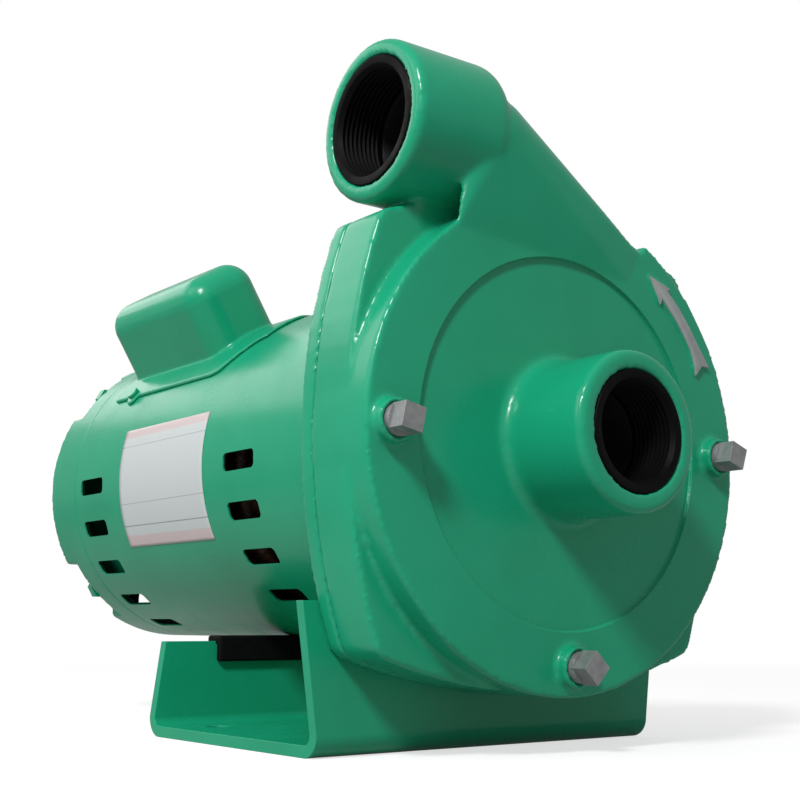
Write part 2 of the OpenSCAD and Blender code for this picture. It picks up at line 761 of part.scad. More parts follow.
module rear_end_bell() {
    wall_y = y_rear - bell_wall;
    window = [9, 20];
    window_step = 21;
    window_circle_r = 59;
    color(green) difference() {
        union() {
            difference() {
                union() {
                    tube(y_barrel_end, y_bolt_seat, 0, barrel_r);
                    between(y_bolt_seat, y_rear) lobes(lobe_half, barrel_r);
                    tube(y_barrel_end - bell_step, y_barrel_end + past, 0, barrel_in_r - seat_gap);
                }
                tube(y_barrel_end - bell_step - past, y_bolt_seat - bell_wall, 0, bell_in_r);
                between(y_bolt_seat - bell_wall - past, wall_y) lobes(lobe_half - bell_wall, bell_in_r - 1);
            }
            tie_bosses(y_barrel_end, y_bolt_seat);
            tube(y_rear_bearing - 2, y_rear - past, 0, hub_out_r);
            for (s = [-1, 1]) {
                bar(s * 10, post_out, y_board + board_t, wall_y + past, post_r);
                bar(s * 10, -post_out, y_board + board_t, wall_y + past, post_r);
            }
            bar(post_out, 0, y_board + board_t, wall_y + past, post_r);
        }
        tube(y_rear_bearing - 2 - past, y_rear_bearing + bearing_w, 0, bearing_r + seat_gap);
        tube(y_rear_bearing, y_rear + past, 0, end_cap_r);
        tie_holes(y_barrel_end - bell_step - past, y_bolt_seat + past);
        for (a = [0, 180], s = [-1, 0, 1])
            translate([0, 0, shaft_h]) rotate([0, a, 0]) translate([s * window_step, wall_y - past, window_circle_r])
                rotate([-90, 0, 0]) linear_extrude(bell_wall + 2 * past)
                    round_rect(window[0], window[1], 4);
    }
}

module tie_bolts() {
    half = tie_circle_r / sqrt(2);
    color(steel) for (sx = [-1, 1], sz = [-1, 1]) {
        bar(sx * half, sz * half, y_plate - tie_depth, y_bolt_seat, tie_bolt_r);
        hex_bar(sx * half, sz * half, y_bolt_seat, y_bolt_seat + tie_head_h, tie_head_w);
    }
}

module stator_core() {
    notch_r = 3.2;
    color(iron) difference() {
        tube(y_core, y_core_end, rotor_r + air_gap, barrel_in_r - seat_gap);
        at_corners(tie_circle_r / sqrt(2)) bar(0, 0, y_core - past, y_core_end + past, notch_r);
    }
}

// A rounded bundle of end turns between two stations
module winding(y0, y1) {
    r = 5;
    color([0.62, 0.30, 0.12]) translate([0, 0, shaft_h]) rotate([-90, 0, 0]) rotate_extrude()
        translate([(winding_in_r + winding_out_r) / 2, (y0 + y1) / 2])
            round_rect(winding_out_r - winding_in_r, y1 - y0, r);
}

module front_winding() {
    winding(y_core - winding_l, y_core - 0.1);
}

module rear_winding() {
    winding(y_core_end + 0.1, y_core_end + winding_l);
}

module rotor_core() {
    color(iron) tube(y_core, y_core_end, shaft_core_r, rotor_r);
}

// Cast end rings, each with its ring of stub blades
module rotor_cage() {
    ring_in_r = rotor_r - 12;
    blades = 10;
    color(steel) {
        tube(y_core - ring_l, y_core - 0.02, ring_in_r, rotor_r - 1);
        tube(y_core_end + 0.02, y_core_end + ring_l, ring_in_r, rotor_r - 1);
        for (k = [0:blades - 1]) translate([0, 0, shaft_h]) rotate([0, 360 * k / blades, 0])
            for (y = [y_core - ring_l - ring_blade_l, y_core_end + ring_l - past])
                translate([ring_in_r + 2, y, -1.2]) cube([8, ring_blade_l + past, 2.4]);
    }
}

module shaft() {
    collar_r = shaft_r + 1.8;
    y_end = y_rear_bearing + bearing_w + 3;
    color(steel) difference() {
        turned([[0, y_nut_seat - nut_h + 3], [nut_thread_r - seat_gap, y_nut_seat - nut_h + 3],
            [nut_thread_r - seat_gap, y_nut_seat],
            [pump_shaft_r, y_nut_seat], [pump_shaft_r, y_front_pocket], [shaft_r - seat_gap, y_front_pocket],
            [shaft_r - seat_gap, y_front_bearing + bearing_w], [collar_r, y_front_bearing + bearing_w],
            [collar_r, y_fan], [shaft_core_r - seat_gap, y_fan], [shaft_core_r - seat_gap, y_spool + spool_l + 2],
            [collar_r, y_spool + spool_l + 2], [collar_r, y_rear_bearing], [shaft_r - seat_gap, y_rear_bearing],
            [shaft_r - seat_gap, y_end - 1], [shaft_r - 1, y_end], [0, y_end]]);
        translate([-key_w / 2, y_back - key_l, shaft_h + pump_shaft_r - 2])
            cube([key_w, key_l, 4]);
    }
}

module slinger() {
    y0 = y_plate + 0.8;
    color(black) turned([[pump_shaft_r + seat_gap, y0], [11, y0], [14, y0 + 1], [14, y0 + 2], [11, y0 + 3.5],
        [pump_shaft_r + seat_gap, y0 + 3.5]]);
}

module wave_washer() {
    color(steel) tube(y_front_pocket + 0.1, y_front_bearing - 0.1, bearing_r - 4, bearing_r - 0.5);
}

// Ball bearing parts, each placed by the station of the bearing's front face
module bearing_ring(y, r_in, r_out) {
    difference() {
        tube(y, y + bearing_w, r_in, r_out);
        translate([0, y + bearing_w / 2, shaft_h]) rotate([-90, 0, 0]) rotate_extrude()
            translate([pitch_r, 0]) circle(ball_r + run, $fn = 32);
    }
}

module bearing_outer(y) {
    color(steel) bearing_ring(y, bearing_r - race_t, bearing_r);
}

module bearing_inner(y) {
    color(steel) bearing_ring(y, shaft_r, shaft_r + race_t);
}

module ball_places(y) {
    for (k = [0:ball_count - 1]) translate([0, y + bearing_w / 2, shaft_h]) rotate([0, 360 * k / ball_count, 0])
        translate([pitch_r, 0, 0]) children();
}

module bearing_balls(y) {
    color(steel) ball_places(y) sphere(ball_r, $fn = 32);
}

module bearing_cage(y) {
    half_w = 4;
    half_t = 0.7;
    color([0.75, 0.62, 0.30]) difference() {
        tube(y + bearing_w / 2 - half_w, y + bearing_w / 2 + half_w, pitch_r - half_t, pitch_r + half_t);
        ball_places(y) translate([-2 * half_t, 0, 0]) rotate([0, 90, 0])
            cylinder(r = ball_r + seat_gap, h = 4 * half_t);
    }
}

module front_bearing_outer() { bearing_outer(y_front_bearing); }
module front_bearing_inner() { bearing_inner(y_front_bearing); }
module front_bearing_balls() { bearing_balls(y_front_bearing); }
module front_bearing_cage() { bearing_cage(y_front_bearing); }
module rear_bearing_outer() { bearing_outer(y_rear_bearing); }
module rear_bearing_inner() { bearing_inner(y_rear_bearing); }
module rear_bearing_balls() { bearing_balls(y_rear_bearing); }
module rear_bearing_cage() { bearing_cage(y_rear_bearing); }

module cooling_fan() {
    hub = 18;
    blade_t = 2;
    color(black) {
        tube(y_fan, y_fan + fan_w + 1, shaft_core_r, hub);
        tube(y_fan + fan_w - 2.4, y_fan + fan_w, hub - 1, fan_r - 6);
        for (k = [0:fan_blades - 1]) translate([0, 0, shaft_h]) rotate([0, 360 * k / fan_blades, 0])
            translate([hub - 1, y_fan + 3, -blade_t / 2]) cube([fan_r - hub, fan_w - 4, blade_t]);
    }
}

// Spinning plate with two bob weights that pull the spool when the motor is up to speed
module governor() {
    plate_r = 33;
    color(steel) {
        tube(y_governor, y_governor + governor_l, shaft_core_r, shaft_core_r + 5);
        difference() {
            tube(y_governor, y_governor + 2, shaft_core_r + 4, plate_r);
            for (s = [-1, 1]) bar(0, s * 25, y_governor - past, y_governor + 3, 4);
        }
        for (s = [-1, 1]) translate([s * 27 - 4, y_governor + 1, shaft_h - 12]) cube([8, governor_l - 3, 24]);
    }
}

module switch_spool() {
    color([0.35, 0.13, 0.08]) {
        tube(y_spool, y_spool + spool_l, shaft_core_r + run - seat_gap, shaft_core_r + 5);
        tube(y_spool + spool_l - 3, y_spool + spool_l, shaft_core_r + 4, shaft_core_r + 15);
    }
}

module board(x, z, w, h) {
    translate([x - w / 2, y_board, shaft_h + z - h / 2]) cube([w, board_t, h]);
}

module start_switch() {
    contact_block = [16, 5, 8];
    color([0.45, 0.22, 0.12]) {
        board(0, post_out, 2 * board_half, board_h);
        translate([-contact_block[0] / 2, y_board - 4, shaft_h + post_out - 9]) cube(contact_block);
    }
}

module terminal_board() {
    color([0.20, 0.16, 0.12]) {
        board(0, -post_out, 2 * board_half, board_h);
        for (k = [-2:2]) bar(terminal_step * k, -post_out, y_board - 6, y_board + past, 1.8);
    }
}

module thermal_protector() {
    color(black) bar(post_out, 0, y_board - 8, y_board + board_t, 13);
}

module shaft_end_cap() {
    color(black) {
        tube(y_rear - 5, y_rear + 0.5, end_cap_r - 2, end_cap_r - seat_gap);
        tube(y_rear, y_rear + 1.4, 0, end_cap_r + 1.6);
    }
}

// A frame leaned to the cover's angle: local Z points away from the shaft
module at_cover() {
    translate([0, y_cover, shaft_h]) rotate([0, 90 - cover_angle, 0]) children();
}

// A box with rounded sides and top, from low to high along local Z
module cover_form(w, l, low, high, r) {
    hull() for (sx = [-1, 1], y = [r, l - r]) {
        translate([sx * (w / 2 - r), y, low]) cylinder(r = r, h = 1, $fn = 28);
        translate([sx * (w / 2 - r), y, high - r]) sphere(r, $fn = 28);
    }
}

// The cover's flange on the barrel: a sheet with a tapered nose and an ear for each screw
module cover_brim(r_in, r_out) {
    nose = [[brim_half, -6], [brim_half - 1.5, -12], [brim_half - 6, -16.2], [15, -27], [12, -32]];
    intersection() {
        tube(y_cover - 60, y_cover + cover_l + 30, r_in, r_out);
        at_cover() linear_extrude(r_out + past) {
            polygon(concat([[brim_half, cover_l - 1]], nose, [for (k = [4:-1:0]) [-nose[k][0], nose[k][1]]],
                [[-brim_half, cover_l - 1]]));
            for (s = [-1, 1]) translate([s * cover_screw_x, cover_l - ear_from_end]) circle(ear_r, $fn = 32);
        }
    }
}

module capacitor_cover() {
    low = barrel_r * cos(asin(cover_w / 2 / barrel_r)) - 3;
    color(green) difference() {
        union() {
            at_cover() cover_form(cover_w, cover_l, low, cover_top, cover_round);
            cover_brim(barrel_r - past, barrel_r + cover_t);
        }
        at_cover() translate([0, cover_t, 0]) cover_form(cover_w - 2 * cover_t, cover_l - 2 * cover_t, low - 6,
            cover_top - cover_t, cover_round - cover_t);
        tube(-whole / 2, whole / 2, 0, barrel_r + seat_gap);
    }
}

// Places of the two cover screws, in the ears on both sides of the cover
module at_cover_screws() {
    for (s = [-1, 1]) translate([0, y_cover + cover_l - ear_from_end, shaft_h])
        rotate([0, 90 - cover_angle + s * cover_screw_angle, 0]) children();
}

module cover_screws() {
    color(steel) at_cover_screws() {
        translate([0, 0, barrel_r + cover_t]) cylinder(r = 3.4, h = 1.8, $fn = 48);
    }
}

module start_capacitor() {
    terminal_h = 5;
    color(black) at_cover() translate([0, (cover_l - capacitor_l) / 2, capacitor_h]) rotate([-90, 0, 0]) {
        cylinder(r = capacitor_r, h = capacitor_l);
        for (s = [-1, 1]) translate([s * 8, 0, -terminal_h]) cylinder(r = 2, h = terminal_h + past, $fn = 24);
    }
}

casing();
suction_port_bush();
discharge_port_bush();
pipe_plugs();
impeller();
impeller_nut();
impeller_key();
seal_spring();
seal_head();
seal_seat();
seal_cup();
casing_o_ring();
adapter();
upper_casing_bolts();
lower_casing_bolts();
base();
rubber_cushion();
front_end_bell();
motor_barrel();
rear_end_bell();
tie_bolts();
stator_core();
front_winding();
rear_winding();
rotor_core();
rotor_cage();
shaft();
slinger();
wave_washer();
front_bearing_outer();
front_bearing_inner();
front_bearing_balls();
front_bearing_cage();
rear_bearing_outer();
rear_bearing_inner();
rear_bearing_balls();
rear_bearing_cage();
cooling_fan();
governor();
switch_spool();
start_switch();
terminal_board();
thermal_protector();
shaft_end_cap();
start_capacitor();
capacitor_cover();
cover_screws();
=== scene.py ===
import bpy, bmesh, math
from mathutils import Vector, Matrix, Quaternion
from mathutils.bvhtree import BVHTree


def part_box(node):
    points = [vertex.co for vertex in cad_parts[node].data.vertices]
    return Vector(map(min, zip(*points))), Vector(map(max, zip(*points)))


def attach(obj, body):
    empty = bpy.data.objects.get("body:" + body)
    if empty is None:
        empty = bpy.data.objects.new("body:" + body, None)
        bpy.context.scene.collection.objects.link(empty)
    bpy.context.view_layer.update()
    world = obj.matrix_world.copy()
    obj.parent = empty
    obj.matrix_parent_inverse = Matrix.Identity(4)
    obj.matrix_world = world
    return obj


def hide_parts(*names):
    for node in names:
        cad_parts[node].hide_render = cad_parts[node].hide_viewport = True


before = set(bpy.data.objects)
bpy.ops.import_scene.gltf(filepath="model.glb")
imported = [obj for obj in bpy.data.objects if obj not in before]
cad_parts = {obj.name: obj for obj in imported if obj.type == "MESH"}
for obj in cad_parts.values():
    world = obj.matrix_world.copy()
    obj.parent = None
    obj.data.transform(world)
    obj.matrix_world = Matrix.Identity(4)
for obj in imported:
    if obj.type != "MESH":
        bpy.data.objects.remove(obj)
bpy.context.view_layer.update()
scene = bpy.context.scene
millimetre = 0.001
print("frame loaded:", len(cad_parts), "nodes")

# places that several pieces share, in metres
shaftHeight = 0.124
voluteFaceY = -0.1126
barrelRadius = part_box("motor_barrel")[1].x
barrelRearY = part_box("motor_barrel")[1].y
weldDistance = 2e-6
samePlace = 1e-6


def fromShaft(place):
    # distance of a place from the shaft's centre line
    return math.hypot(place.x, place.z - shaftHeight)


def countTriangles(mesh):
    return sum(len(p.vertices) - 2 for p in mesh.polygons)


# camera at the photograph's viewing angle

cameraView = {
    "place": (-0.3799, -0.4980, 0.0513),
    "looksAlong": (0.59864, 0.78393, 0.16459),
    "rollDegrees": 0.173,
    "lens": 60.0,
    "sensor": 36.0,
}


def makeCamera(view):
    data = bpy.data.cameras.new("photoCamera")
    data.lens = view["lens"]
    data.sensor_width = view["sensor"]
    data.clip_start, data.clip_end = 0.01, 60
    camera = bpy.data.objects.new("photoCamera", data)
    scene.collection.objects.link(camera)
    camera.location = view["place"]
    aim = Vector(view["looksAlong"]).to_track_quat("-Z", "Y")
    camera.rotation_mode = "QUATERNION"
    camera.rotation_quaternion = aim @ Quaternion((0, 0, 1), math.radians(view["rollDegrees"]))
    scene.camera = camera


makeCamera(cameraView)

# small helpers for meshes


def addPiece(name, mesh, body="frame", stands=()):
    piece = bpy.data.objects.new(name, mesh)
    scene.collection.objects.link(piece)
    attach(piece, body)
    if stands:
        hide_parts(*stands)
    return piece


def meshFrom(shape, name):
    mesh = bpy.data.meshes.new(name)
    shape.to_mesh(mesh)
    shape.free()
    return mesh


def smoothByAngle(mesh, degrees):
    mesh.shade_smooth()
    mesh.set_sharp_from_angle(angle=math.radians(degrees))


def mergedCopy(node):
    # the CAD mesh is loose triangles, so its copy is merged
    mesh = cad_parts[node].data.copy()
    mesh.materials.clear()
    if "custom_normal" in mesh.attributes:
        mesh.attributes.remove(mesh.attributes["custom_normal"])
    shape = bmesh.new()
    shape.from_mesh(mesh)
    bmesh.ops.remove_doubles(shape, verts=shape.verts, dist=weldDistance)
    bmesh.ops.dissolve_degenerate(shape, edges=shape.edges, dist=samePlace)
    shape.to_mesh(mesh)
    shape.free()
    return mesh


def bakeModifiers(piece):
    solved = piece.evaluated_get(bpy.context.evaluated_depsgraph_get())
    mesh = bpy.data.meshes.new_from_object(solved)
    piece.modifiers.clear()
    old = piece.data
    piece.data = mesh
    bpy.data.meshes.remove(old)


askewTurn = Quaternion((0.31, 0.55, 0.78), 0.83).to_matrix().to_4x4()


def softenCasting(piece, look):
    # voxels join every wall of the casting, and smoothing turns its sharp corners into cast fillets;
    # the mesh is turned askew meanwhile, so that no flat face lies along the voxels and gets steps
    piece.data.transform(askewTurn)
    back = askewTurn.inverted()
    remesh = piece.modifiers.new("voxels", "REMESH")
    remesh.mode = "VOXEL"
    remesh.voxel_size = look["voxel"] * 1
    smooth = piece.modifiers.new("fillets", "SMOOTH")
    smooth.factor = 0.5
    smooth.iterations = look["rounds"]
    bakeModifiers(piece)
    triangles = countTriangles(piece.data)
    if triangles > look["triangles"]:
        thin = piece.modifiers.new("thin", "DECIMATE")
        thin.ratio = look["triangles"] / triangles
        if look.get("keptRadius"):
            # the front panel's rim stays dense, because its step is cut in later
            places = [back @ v.co for v in piece.data.vertices]
            spare = [k for k, place in enumerate(places) if place.y > voluteFaceY + look["keptDepth"]
                     or abs(fromShaft(place) - look["keptRadius"]) > look["keptWidth"]]
            piece.vertex_groups.new(name="spare").add(spare, 1.0, "REPLACE")
            thin.vertex_group = "spare"
        bakeModifiers(piece)
    piece.vertex_groups.clear()
    piece.data.transform(back)
    piece.data.shade_smooth()
    print(piece.name, "softened:", triangles, "->", countTriangles(piece.data), "triangles")


lookAround = {
    "lift": 0.0006,
    "tilts": (0.1, 0.5, 0.9, 1.2),
    "turn": 2.4,
    "rays": 20,
    "lidCorners": 24,
    "mouthFrom": 0.0015,
    "mouthTo": 0.05,
}


def lidAcross(centre, axis, radius):
    # corners of a disc that shuts a port
    side = Vector(axis).orthogonal().normalized() * radius
    across = Vector(axis).cross(side)
    step = 2 * math.pi / lookAround["lidCorners"]
    return [Vector(centre) + side * math.cos(k * step) + across * math.sin(k * step)
            for k in range(lookAround["lidCorners"])]


def inMouth(place, centre, axis, radius):
    away = place - Vector(centre)
    depth = away.dot(Vector(axis))
    return lookAround["mouthFrom"] < depth < lookAround["mouthTo"] and (away - Vector(axis) * depth).length < radius


def isWalledIn(face, walls, mostOpen):
    # whether nearly every ray from the face ends on a wall, so that the face lies in shade
    normal = face.normal.copy()
    side = normal.orthogonal().normalized()
    across = normal.cross(side)
    start = face.center + normal * lookAround["lift"]
    openWays = 0
    for k in range(lookAround["rays"]):
        tilt, turn = lookAround["tilts"][k % len(lookAround["tilts"])], k * lookAround["turn"]
        ray = normal * math.cos(tilt) + (side * math.cos(turn) + across * math.sin(turn)) * math.sin(tilt)
        if walls.ray_cast(start, ray)[0] is None:
            openWays += 1
            if openWays > mostOpen:
                return False
    return True


def bareAndShadedInside(piece, others, material, mostOpen, mouths=(), mayBeInside=lambda place: True):
    # no paint comes inside the casting, and its walled-in faces and the faces inside the port mouths get the
    # near-black material: the unpainted inside, darkened into painted shade; the ports are shut meanwhile
    corners, faces = [], []
    for mesh in [piece.data] + [other.data for other in others]:
        start = len(corners)
        corners += [v.co.copy() for v in mesh.vertices]
        faces += [[start + k for k in p.vertices] for p in mesh.polygons]
    for mouth in mouths:
        lid = lidAcross(*mouth)
        faces.append(list(range(len(corners), len(corners) + len(lid))))
        corners += lid
    walls = BVHTree.FromPolygons(corners, faces)
    piece.data.materials.append(material)
    bareShadeSlot = len(piece.data.materials) - 1
    count = 0
    for p in piece.data.polygons:
        within = any(inMouth(p.center, *mouth) for mouth in mouths)
        if within or (mayBeInside(p.center) and isWalledIn(p, walls, mostOpen)):
            p.material_index = bareShadeSlot
            count += 1
    print(piece.name, "bare inside faces:", count, "of", len(piece.data.polygons))


def spunRing(profile, steps):
    # a closed ring round Z from its (radius, height) profile
    shape = bmesh.new()
    corners = [shape.verts.new((r, 0, h)) for r, h in profile]
    edges = [shape.edges.new((corners[k], corners[(k + 1) % len(corners)])) for k in range(len(corners))]
    bmesh.ops.spin(shape, geom=corners + edges, cent=(0, 0, 0), axis=(0, 0, 1), dvec=(0, 0, 0),
                   angle=2 * math.pi, steps=steps, use_merge=True, use_duplicate=False)
    bmesh.ops.remove_doubles(shape, verts=shape.verts, dist=samePlace)
    bmesh.ops.recalc_face_normals(shape, faces=shape.faces)
    return shape


def bevelEdges(piece, look):
    shape = bmesh.new()
    shape.from_mesh(piece.data)
    bmesh.ops.dissolve_limit(shape, angle_limit=math.radians(0.6), verts=shape.verts, edges=shape.edges)
    shape.to_mesh(piece.data)
    shape.free()
    smoothByAngle(piece.data, look.get("sharpDegrees", 32))
    bevel = piece.modifiers.new("edges", "BEVEL")
    bevel.limit_method = "ANGLE"
    bevel.angle_limit = math.radians(look.get("bevelDegrees", 40))
    bevel.width = look["width"]
    bevel.segments = look.get("segments", 2)
    bevel.profile = 0.5
    bevel.use_clamp_overlap = True
    bevel.harden_normals = False
    weighted = piece.modifiers.new("normals", "WEIGHTED_NORMAL")
    weighted.keep_sharp = True


def paint(piece, material):
    piece.data.materials.clear()
    piece.data.materials.append(material)


# materials

enamelLook = {
    "colour": (0.0085, 0.330, 0.172, 1),
    "paler": (0.011, 0.355, 0.188, 1),
    "darker": (0.007, 0.300, 0.155, 1),
    "roughLow": 0.20,
    "roughHigh": 0.29,
    "gloss": 0.35,
}


def newMaterial(name):
    material = bpy.data.materials.new(name)
    material.use_nodes = True
    tree = material.node_tree
    shader = tree.nodes["Principled BSDF"]
    place = tree.nodes.new("ShaderNodeTexCoord").outputs["Object"]
    return material, tree, shader, place


def addNoise(tree, place, scale, detail=4.0, roughness=0.55, distortion=0.0):
    noise = tree.nodes.new("ShaderNodeTexNoise")
    noise.inputs["Scale"].default_value = scale
    noise.inputs["Detail"].default_value = detail
    noise.inputs["Roughness"].default_value = roughness
    noise.inputs["Distortion"].default_value = distortion
    tree.links.new(place, noise.inputs["Vector"])
    return noise.outputs["Fac"]


def addRamp(tree, value, stops, interpolation="LINEAR"):
    ramp = tree.nodes.new("ShaderNodeValToRGB")
    ramp.color_ramp.interpolation = interpolation
    while len(ramp.color_ramp.elements) < len(stops):
        ramp.color_ramp.elements.new(0.5)
    for element, (position, colour) in zip(ramp.color_ramp.elements, stops):
        element.position = position
        element.color = colour
    tree.links.new(value, ramp.inputs["Fac"])
    return ramp.outputs["Color"]


def addRange(tree, value, low, high, fromLow=0.3, fromHigh=0.7):
    spread = tree.nodes.new("ShaderNodeMapRange")
    spread.inputs["From Min"].default_value = fromLow
    spread.inputs["From Max"].default_value = fromHigh
    spread.inputs["To Min"].default_value = low
    spread.inputs["To Max"].default_value = high
    tree.links.new(value, spread.inputs["Value"])
    return spread.outputs["Result"]


def addBump(tree, height, strength, distance, below=None):
    bump = tree.nodes.new("ShaderNodeBump")
    bump.inputs["Strength"].default_value = strength
    bump.inputs["Distance"].default_value = distance
    tree.links.new(height, bump.inputs["Height"])
    if below:
        tree.links.new(below, bump.inputs["Normal"])
    return bump.outputs["Normal"]


def enamel(name, look, waveHeight, grainHeight):
    # thick glossy paint: it pools a little darker and paler, and its gloss follows the waviness of what is under it
    material, tree, shader, place = newMaterial(name)
    pools = addNoise(tree, place, 14, 3)
    colour = addRamp(tree, pools, [(0.30, look["darker"]), (0.48, look["colour"]), (0.72, look["paler"])])
    tree.links.new(colour, shader.inputs["Base Color"])
    haze = addNoise(tree, place, 60, 5)
    tree.links.new(addRange(tree, haze, look["roughLow"], look["roughHigh"]), shader.inputs["Roughness"])
    wave = addBump(tree, addNoise(tree, place, 38, 2), waveHeight, 0.0012)
    grain = addBump(tree, addNoise(tree, place, 520, 3), grainHeight, 0.0003, wave)
    tree.links.new(grain, shader.inputs["Normal"])
    shader.inputs["Specular IOR Level"].default_value = look["gloss"]
    return material


def insideShadeMask(tree, place, threshold, axisZ):
    # 1 where a point lies nearer to the shaft than the threshold; this marks the barrel's inner wall for painted shade
    centre = tree.nodes.new("ShaderNodeMapping")
    centre.inputs["Location"].default_value = (0, 0, -axisZ)
    centre.inputs["Scale"].default_value = (1, 0, 1)
    tree.links.new(place, centre.inputs["Vector"])
    length = tree.nodes.new("ShaderNodeVectorMath")
    length.operation = "LENGTH"
    tree.links.new(centre.outputs["Vector"], length.inputs[0])
    near = tree.nodes.new("ShaderNodeMath")
    near.operation = "LESS_THAN"
    near.inputs[1].default_value = threshold
    tree.links.new(length.outputs["Value"], near.inputs[0])
    return near.outputs[0]


# near-black: bare steel darkened to stand in for the shade inside the motor, a painted shade
bareSteelShadeColour = (0.010, 0.010, 0.011, 1)


def bareShadeWithin(name, base, mask):
    # the same paint, but near-black where the mask says inside: bare steel darkened into painted shade
    material = base.copy()
    material.name = name
    tree = material.node_tree
    shader = tree.nodes["Principled BSDF"]
    place = [n for n in tree.nodes if n.type == "TEX_COORD"][0].outputs["Object"]
    within = mask(tree, place)
    mix = tree.nodes.new("ShaderNodeMix")
    mix.data_type = "RGBA"
    mix.inputs[7].default_value = bareSteelShadeColour
    tree.links.new(within, mix.inputs[0])
    tree.links.new(shader.inputs["Base Color"].links[0].from_socket, mix.inputs[6])
    tree.links.new(mix.outputs[2], shader.inputs["Base Color"])
    return material


def aheadOf(tree, place, y):
    # 1 where a point lies on the pump's side of y
    split = tree.nodes.new("ShaderNodeSeparateXYZ")
    tree.links.new(place, split.inputs[0])
    ahead = tree.nodes.new("ShaderNodeMath")
    ahead.operation = "LESS_THAN"
    ahead.inputs[1].default_value = y
    tree.links.new(split.outputs["Y"], ahead.inputs[0])
    return ahead.outputs[0]


castEnamel = enamel("castEnamel", enamelLook, 0.10, 0.05)
sheetEnamel = enamel("sheetEnamel", enamelLook, 0.04, 0.03)
# the barrel is painted outside only, and the tie bolts only at their heads; inside the barrel and along the shanks the
# near-black colour is painted shade over the bare steel
paintedDepth = 0.0008
headsBehindBarrel = 0.004
boltPaintShadedShank = bareShadeWithin("boltPaintShadedShank", sheetEnamel,
                       lambda tree, place: aheadOf(tree, place, barrelRearY + headsBehindBarrel))
barrelEnamelShadedInside = bareShadeWithin("barrelEnamelShadedInside", sheetEnamel,
                          lambda tree, place: insideShadeMask(tree, place, barrelRadius - paintedDepth, shaftHeight))


def metal(name, look):
    material, tree, shader, place = newMaterial(name)
    shader.inputs["Metallic"].default_value = look.get("metallic", 1.0)
    spots = addNoise(tree, place, look.get("spotScale", 160), 5)
    tree.links.new(addRamp(tree, spots, [(0.3, look["dark"]), (0.7, look["pale"])]), shader.inputs["Base Color"])
    if look.get("turned"):
        # fine rings of the lathe: noise squeezed along the shaft
        squeeze = tree.nodes.new("ShaderNodeMapping")
        squeeze.inputs["Scale"].default_value = (30, 2600, 30)
        tree.links.new(place, squeeze.inputs["Vector"])
        rings = addNoise(tree, squeeze.outputs["Vector"], 1.0, 2)
        tree.links.new(addBump(tree, rings, 0.35, 0.0002), shader.inputs["Normal"])
        tree.links.new(addRange(tree, rings, look["roughLow"], look["roughHigh"]), shader.inputs["Roughness"])
    else:
        tree.links.new(addRange(tree, spots, look["roughLow"], look["roughHigh"]), shader.inputs["Roughness"])
        fine = addNoise(tree, place, look.get("grainScale", 700), 3)
        tree.links.new(addBump(tree, fine, look.get("grain", 0.2), 0.0003), shader.inputs["Normal"])
    return material


turnedSteel = metal("turnedSteel", {"dark": (0.42, 0.43, 0.45, 1), "pale": (0.60, 0.61, 0.62, 1),
                                    "roughLow": 0.22, "roughHigh": 0.40, "turned": True})
platedSteel = metal("platedSteel", {"dark": (0.40, 0.41, 0.43, 1), "pale": (0.58, 0.59, 0.60, 1),
                                    "roughLow": 0.28, "roughHigh": 0.45})
castZinc = metal("plugZinc", {"dark": (0.25, 0.255, 0.26, 1), "pale": (0.35, 0.355, 0.36, 1),
                              "roughLow": 0.38, "roughHigh": 0.55, "metallic": 0.55, "grain": 0.35, "spotScale": 220})
castBronze = metal("castBronze", {"dark": (0.36, 0.20, 0.07, 1), "pale": (0.62, 0.38, 0.14, 1),
                                  "roughLow": 0.30, "roughHigh": 0.50, "grain": 0.4, "grainScale": 420})
castAluminium = metal("castAluminium", {"dark": (0.50, 0.51, 0.52, 1), "pale": (0.68, 0.69, 0.70, 1),
                                        "roughLow": 0.35, "roughHigh": 0.55, "grain": 0.3})
laminations = metal("laminations", {"dark": (0.10, 0.10, 0.11, 1), "pale": (0.22, 0.22, 0.23, 1),
                                    "roughLow": 0.35, "roughHigh": 0.6, "turned": True})


def plain(name, look):
    material, tree, shader, place = newMaterial(name)
    cloud = addNoise(tree, place, look.get("cloudScale", 90), 4)
    tree.links.new(addRamp(tree, cloud, [(0.3, look["dark"]), (0.7, look["pale"])]), shader.inputs["Base Color"])
    tree.links.new(addRange(tree, cloud, look["roughLow"], look["roughHigh"]), shader.inputs["Roughness"])
    fine = addNoise(tree, place, look.get("grainScale", 900), 3)
    tree.links.new(addBump(tree, fine, look.get("grain", 0.25), 0.0003), shader.inputs["Normal"])
    shader.inputs["Specular IOR Level"].default_value = look.get("specular", 0.5)
    return material


# the bushes' own black, darkened further into painted shade so the threads down the port bore read as shade
portBlackShade = plain("portBlackShade", {"dark": (0.0012, 0.0012, 0.0014, 1), "pale": (0.0024, 0.0024, 0.0027, 1),
                                "roughLow": 0.42, "roughHigh": 0.6, "specular": 0.07, "grain": 0.15})
cushionRubber = plain("cushionRubber", {"dark": (0.0022, 0.0022, 0.0022, 1), "pale": (0.0045, 0.0045, 0.0045, 1),
                                        "roughLow": 0.6, "roughHigh": 0.85, "grain": 0.5, "specular": 0.1})
blackPlastic = plain("blackPlastic", {"dark": (0.010, 0.010, 0.011, 1), "pale": (0.020, 0.020, 0.022, 1),
                                      "roughLow": 0.35, "roughHigh": 0.55, "grain": 0.4})
phenolicBoard = plain("phenolicBoard", {"dark": (0.075, 0.028, 0.012, 1), "pale": (0.14, 0.055, 0.024, 1),
                                        "roughLow": 0.35, "roughHigh": 0.5, "cloudScale": 260})
sealCeramic = plain("sealCeramic", {"dark": (0.70, 0.68, 0.62, 1), "pale": (0.80, 0.78, 0.73, 1),
                                    "roughLow": 0.08, "roughHigh": 0.16, "grain": 0.03})
